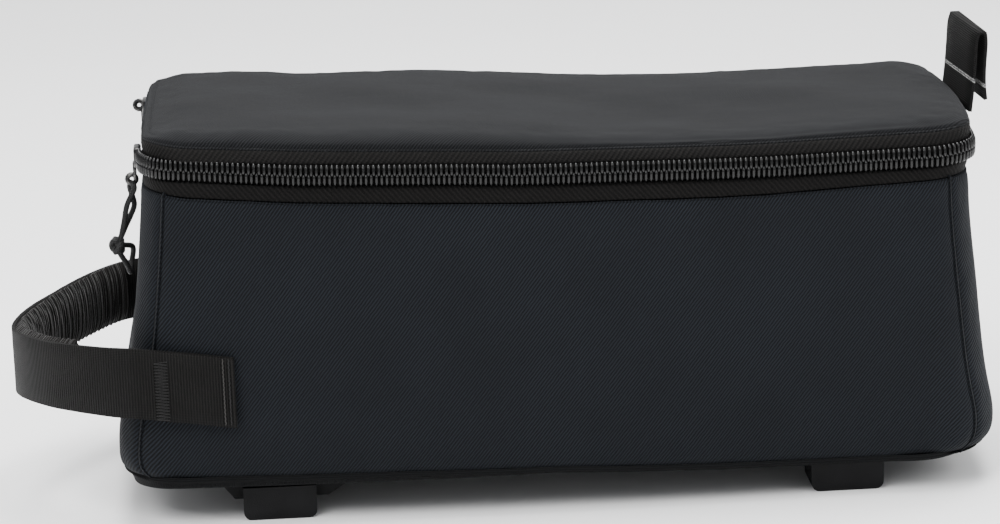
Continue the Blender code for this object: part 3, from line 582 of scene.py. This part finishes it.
# The lid: the same twill over thin foam, a shallow tray turned down all round. It has
# slumped into a few soft ridges, and a strip of the cloth hinges it at the left end.
LID_TOP = 165 * MM
HALF_WIDTH = 75 * MM
# The lid's copy of the twill is lighter and greyer than the walls': painted light on the top,
# which faces the lamps.
lid_cloth = twill_material(
    "lid_twill_painted_light", (0.0011, 0.0013, 0.0017), (0.0125, 0.0132, 0.0150), TWILL_PITCH, TWILL_LEAN
)
lid = cloth_copy("lid_cloth", "lid_top", 3)
soften(lid, HEART, 0.8, 0.35, 1.5)
layer = lid.data.uv_layers.new(name="cloth")
for loop in lid.data.loops:
    x, y, z = lid.data.vertices[loop.vertex_index].co
    layer.data[loop.index].uv = (x, y * (1 - (z - LID_TOP) / HALF_WIDTH))
lid.data.materials.append(lid_cloth)
hinge = cloth_copy("hinge_cloth", "lid_hinge", 2)
map_walls(hinge, True)
hinge.data.materials.append(wall_cloth)


# The sliders: die-cast gunmetal bodies with rounded edges, worn bright where they rub.
def metal_material():
    """Dark plated metal, brighter and smoother in rubbed patches."""
    material, main = new_material("gunmetal", Metallic=0.9)
    rubbed = blotches(material, 1.6 * MM, 6)
    tint = blend(material, rubbed, (0.012, 0.012, 0.013), (0.13, 0.127, 0.122), 0.4, 0.72)
    material.node_tree.links.new(tint, main.inputs[0])
    rough = add_node(material, "MapRange", {0: rubbed, 3: 0.42, 4: 0.22}).outputs[0]
    material.node_tree.links.new(rough, main.inputs["Roughness"])
    raise_by(material, main, [(blotches(material, 0.35 * MM), 0.04 * MM)])
    return material


gunmetal = metal_material()
for node in ("slider_front", "slider_back"):
    slider = cloth_copy(node + "_metal", node, 0)
    rounding = slider.modifiers.new("rounding", "BEVEL")
    rounding.width = 0.22 * MM
    rounding.segments = 2
    slider.data.uv_layers.new(name="cloth")
    slider.data.materials.append(gunmetal)


# The carrying handle: one strap of ribbed webbing sewn flat to both long walls and bent
# round the left end. A gathered sleeve of softer cloth pads the inside of the grip.
def strap_lengths(piece, centre):
    """Table of the angle round a centre in plan against the length along the strap."""
    places = sorted(
        (math.atan2(v.co.y - centre.y, centre.x - v.co.x), v.co.x, v.co.y)
        for v in piece.data.vertices
    )
    angles, lengths, total, last = [], [], 0.0, None
    for start in range(0, len(places) - 40, 40):
        angle, x, y = np.mean(places[start : start + 40], 0)
        if last is not None:
            total += math.hypot(x - last[0], y - last[1])
        last = (x, y)
        angles.append(angle)
        lengths.append(total)
    return angles, lengths


def map_strap(piece, centre, table):
    layer = piece.data.uv_layers.new(name="cloth")
    for loop in piece.data.loops:
        x, y, z = piece.data.vertices[loop.vertex_index].co
        angle = math.atan2(y - centre.y, centre.x - x)
        layer.data[loop.index].uv = (float(np.interp(angle, *table)), z)


def webbing_material(name, pitch, lean, low, high, stripe=None):
    """Flat nylon webbing: rounded ribs across it, crossed by fine warp yarns."""
    material, main = new_material(
        name, Roughness=0.62, Sheen_Weight=0.01, Specular_IOR_Level=0.1
    )
    ribs = lines(material, pitch, lean, 0.35)
    warp = lines(material, 0.7 * MM, lean + 90, 0.8)
    colour = blend(material, ribs, low, high, 0.1, 0.9)
    cross = blend(material, warp, (0.6, 0.6, 0.6), (1, 1, 1), 0.1, 0.8)
    colour = multiply(material, colour, cross, 0.7)
    worn = blend(material, blotches(material, 14 * MM), (0.7, 0.68, 0.66), (1, 1, 1), 0.35, 0.65)
    colour = multiply(material, colour, worn, 0.8)
    if stripe:
        height = add_node(
            material, "SeparateXYZ", {0: add_node(material, "UVMap", uv_map="cloth").outputs[0]}
        ).outputs[1]
        near = add_node(
            material, "Math", {0: height, 1: stripe, 2: 0.9 * MM}, operation="COMPARE"
        ).outputs[0]
        flecks = blotches(material, 0.7 * MM)
        speckle = blend(material, flecks, (0.03, 0.03, 0.03), (0.34, 0.34, 0.33), 0.38, 0.6)
        colour = add_node(
            material, "Mix", {0: near, 6: colour, 7: speckle}, data_type="RGBA"
        ).outputs[2]
    material.node_tree.links.new(colour, main.inputs[0])
    raise_by(material, main, [(ribs, 0.45 * MM), (warp, 0.12 * MM)])
    return material


BLACK_YARN = ((0.0005, 0.0005, 0.0005), (0.0085, 0.0079, 0.0074))
strap_centre = Vector((-117, 0, 0)) * MM
strap = cloth_copy("handle_strap", "handle_webbing", 2)
soften(strap, Vector((-150, 0, 60)) * MM, 0.0, 0.12, 0.2)
strap_table = strap_lengths(strap, strap_centre)
map_strap(strap, strap_centre, strap_table)
strap.data.materials.append(webbing_material("webbing", 1.2 * MM, 0, *BLACK_YARN))

sleeve = cloth_copy("handle_sleeve", "handle_padding", 3)
for vertex, way in zip(sleeve.data.vertices, [v.normal.copy() for v in sleeve.data.vertices]):
    angle = math.atan2(vertex.co.y, strap_centre.x - vertex.co.x)
    length = float(np.interp(angle, *strap_table))
    drift = 0.6 * noise.noise(vertex.co * 60) + vertex.co.z * 40
    fold = math.sin(2 * math.pi * length / (3.1 * MM) + 3 * drift)
    fold += 0.6 * math.sin(2 * math.pi * length / (1.9 * MM) + 2 + 5 * drift)
    lump = noise.noise(vertex.co * 45)
    vertex.co += way * (0.3 * fold + 0.45 * lump) * MM
sleeve.data.update()
map_strap(sleeve, strap_centre, strap_table)
sleeve_cloth = twill_material(
    "gathered_cloth", (0.0016, 0.0014, 0.0013), (0.0085, 0.0072, 0.0064), 1.1 * MM, 0, 0.12
)
sleeve.data.materials.append(sleeve_cloth)


# The stitches that hold the strap: a dense zigzag bar where it leaves the wall and a
# straight double row at its hem, one row of it pale.
def thread_material(name, colour):
    material, main = new_material(name, Roughness=0.5, Specular_IOR_Level=0.3)
    twist = lines(material, 0.5 * MM, 30, 0.2)
    tint = blend(material, twist, [0.4 * c for c in colour], colour)
    material.node_tree.links.new(tint, main.inputs[0])
    raise_by(material, main, [(twist, 0.06 * MM)])
    return material


def on_strap(tree, x, z, side):
    start = Vector((x * MM, side * 0.2, z * MM))
    hit = tree.ray_cast(start, Vector((0, -side, 0)))[0]
    if hit is None or hit.y * side < 0:
        return None
    return hit + Vector((0, side * 0.15 * MM, 0))


def stitch_row(name, tree, route, side, finish):
    places = [on_strap(tree, x, z, side) for x, z in route]
    places = [place for place in places if place]
    if len(places) > 3:
        row = tube(name, smooth(places, 0.8 * MM), 0.28 * MM, 5)
        row.data.materials.append(finish)
        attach(row, "root")


dark_thread = thread_material("dark_thread", (0.0028, 0.0026, 0.0025))
pale_thread = thread_material("pale_thread", (0.03, 0.028, 0.026))
shape = bmesh.new()
shape.from_mesh(strap.data)
strap_tree = BVHTree.FromBMesh(shape)
shape.free()
SEAM_LOW, SEAM_HEIGHT = 46.6, 28.5
BAR_START, BAR_WIDTH, BAR_TURNS = -150.5, 5.5, 43
HEM_TURNS = 30
for side, label in ((-1, "front"), (1, "back")):
    bar = []
    for i in range(BAR_TURNS + 1):
        height = SEAM_LOW + SEAM_HEIGHT * i / BAR_TURNS
        bar.append((BAR_START + BAR_WIDTH * (i % 2), height))
    stitch_row("bar_tack_" + label, strap_tree, bar, side, dark_thread)
    for column, x in enumerate((-122.2, -119.8)):
        hem = [
            (x + 0.35 * (i % 2), SEAM_LOW + SEAM_HEIGHT * i / HEM_TURNS)
            for i in range(HEM_TURNS + 1)
        ]
        finish = dark_thread if column else pale_thread
        stitch_row(f"hem_stitch_{column}_{label}", strap_tree, hem, side, finish)


# The lid's tab: a folded length of ribbed webbing standing up at the right end, with one
# pale speckled yarn woven across it.
tab = cloth_copy("tab_strap", "lid_tab", 2)
lowest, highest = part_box("lid_tab")
layer = tab.data.uv_layers.new(name="cloth")
for loop in tab.data.loops:
    x, y, z = tab.data.vertices[loop.vertex_index].co
    layer.data[loop.index].uv = (y, z + 0.54 * (x - lowest[0]))
STRIPE_DROP = 21.8 * MM
tab_cloth = webbing_material(
    "tab_webbing", 1.0 * MM, 90, *BLACK_YARN, stripe=highest[2] - STRIPE_DROP
)
tab.data.materials.append(tab_cloth)


# The rack fitting under the bag: plate, feet and the ribs between them, moulded in dark
# grey plastic with a fine spark-eroded grain.
def plastic_material():
    material, main = new_material("plastic", Specular_IOR_Level=0.12)
    patch = blotches(material, 11 * MM)
    tint = blend(material, patch, (0.0028, 0.0028, 0.0031), (0.0055, 0.0055, 0.006), 0.35, 0.65)
    material.node_tree.links.new(tint, main.inputs[0])
    rough = add_node(material, "MapRange", {0: patch, 3: 0.48, 4: 0.62}).outputs[0]
    material.node_tree.links.new(rough, main.inputs["Roughness"])
    raise_by(material, main, [(blotches(material, 0.5 * MM, 2), 0.12 * MM)])
    return material


plastic = plastic_material()
for node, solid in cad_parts.items():
    if node.startswith(("base_plate", "foot_", "bracket_")):
        for place in solid.material_slots:
            place.material = plastic


# The studio: a plain pale floor, an even pale surround, one large soft light above on
# the left and a weaker one on the right.
def floor_material():
    material, main = new_material("floor", Roughness=0.85)
    tint = blend(material, blotches(material, 0.5), (0.86, 0.86, 0.86), (0.9, 0.9, 0.9), 0.3, 0.7)
    material.node_tree.links.new(tint, main.inputs[0])
    return material


bpy.ops.mesh.primitive_plane_add(size=8)
floor = bpy.context.object
floor.name = "floor"
floor.data.materials.append(floor_material())
world = bpy.data.worlds.new("studio")
bpy.context.scene.world = world
world.use_nodes = True
world.node_tree.nodes["Background"].inputs[0].default_value = (0.97, 0.98, 1, 1)
world.node_tree.nodes["Background"].inputs[1].default_value = 0.8
for name, place, size, power in (
    ("key_light", (-0.9, -1.2, 1.7), 1.2, 50),
    ("fill_light", (1.4, -0.8, 1.1), 1.0, 18),
    ("top_light", (0.1, 0.25, 1.8), 1.2, 80),
):
    lamp = bpy.data.lights.new(name, "AREA")
    lamp.energy = power
    lamp.size = size
    light = bpy.data.objects.new(name, lamp)
    bpy.context.scene.collection.objects.link(light)
    light.location = place
    aim = Vector((0, 0, 80 * MM)) - light.location
    light.rotation_euler = aim.to_track_quat("-Z", "Y").to_euler()
